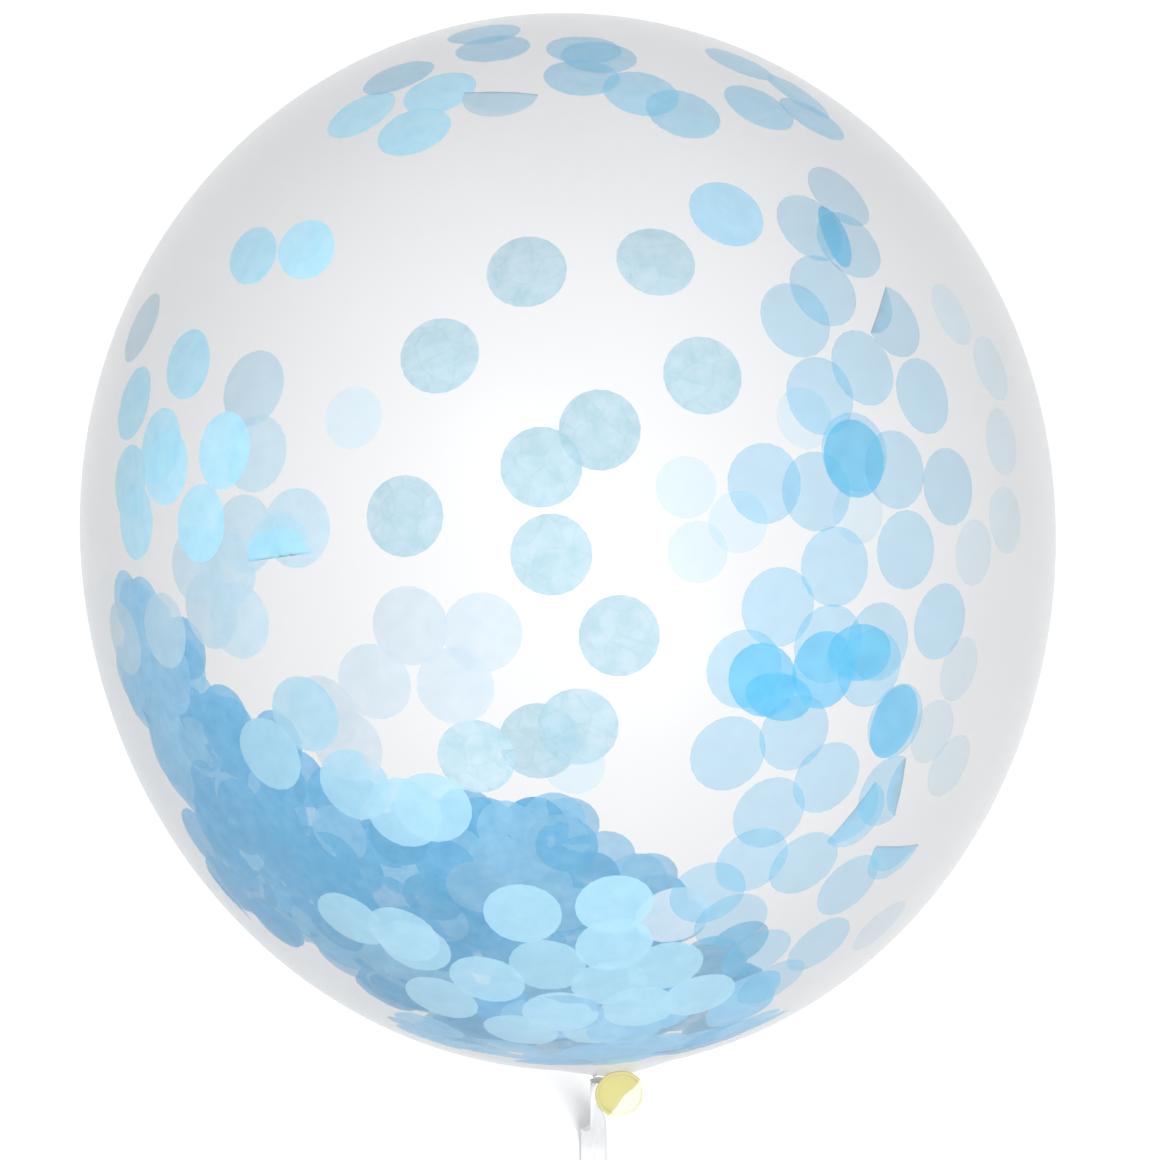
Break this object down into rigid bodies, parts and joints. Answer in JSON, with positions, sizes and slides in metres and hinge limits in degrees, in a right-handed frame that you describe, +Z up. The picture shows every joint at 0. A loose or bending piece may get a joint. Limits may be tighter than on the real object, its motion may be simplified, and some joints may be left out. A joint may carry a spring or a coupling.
{
  "type": "confetti balloon",
  "caption": "Very large round clear latex balloon lying on its side, neck knotted and tied with a white satin ribbon, for light blue tissue confetti inside.",
  "frame": {"origin": "centre of the small flat spot on the balloon's underside, which it rests on", "axes": "+Z up from the flat spot, +Y along the balloon's level axis towards its crown, so the knotted neck is towards -Y, +X to the right of someone who looks down with the crown ahead"},
  "size_m": [0.9, 1.386, 0.8982],
  "materials": {
    "clear_latex": "glossy, see-through, natural yellow at the thick knot and lip",
    "satin_ribbon": "white satin weave",
    "tissue_confetti": "matte light blue tissue paper, slightly see-through"
  },
  "bodies": {
    "root": {"balloon": "clear_latex", "ribbon_tie": "satin_ribbon", "ribbon_run": "satin_ribbon", "ribbon_coil": "satin_ribbon"}
  },
  "joints": []
}
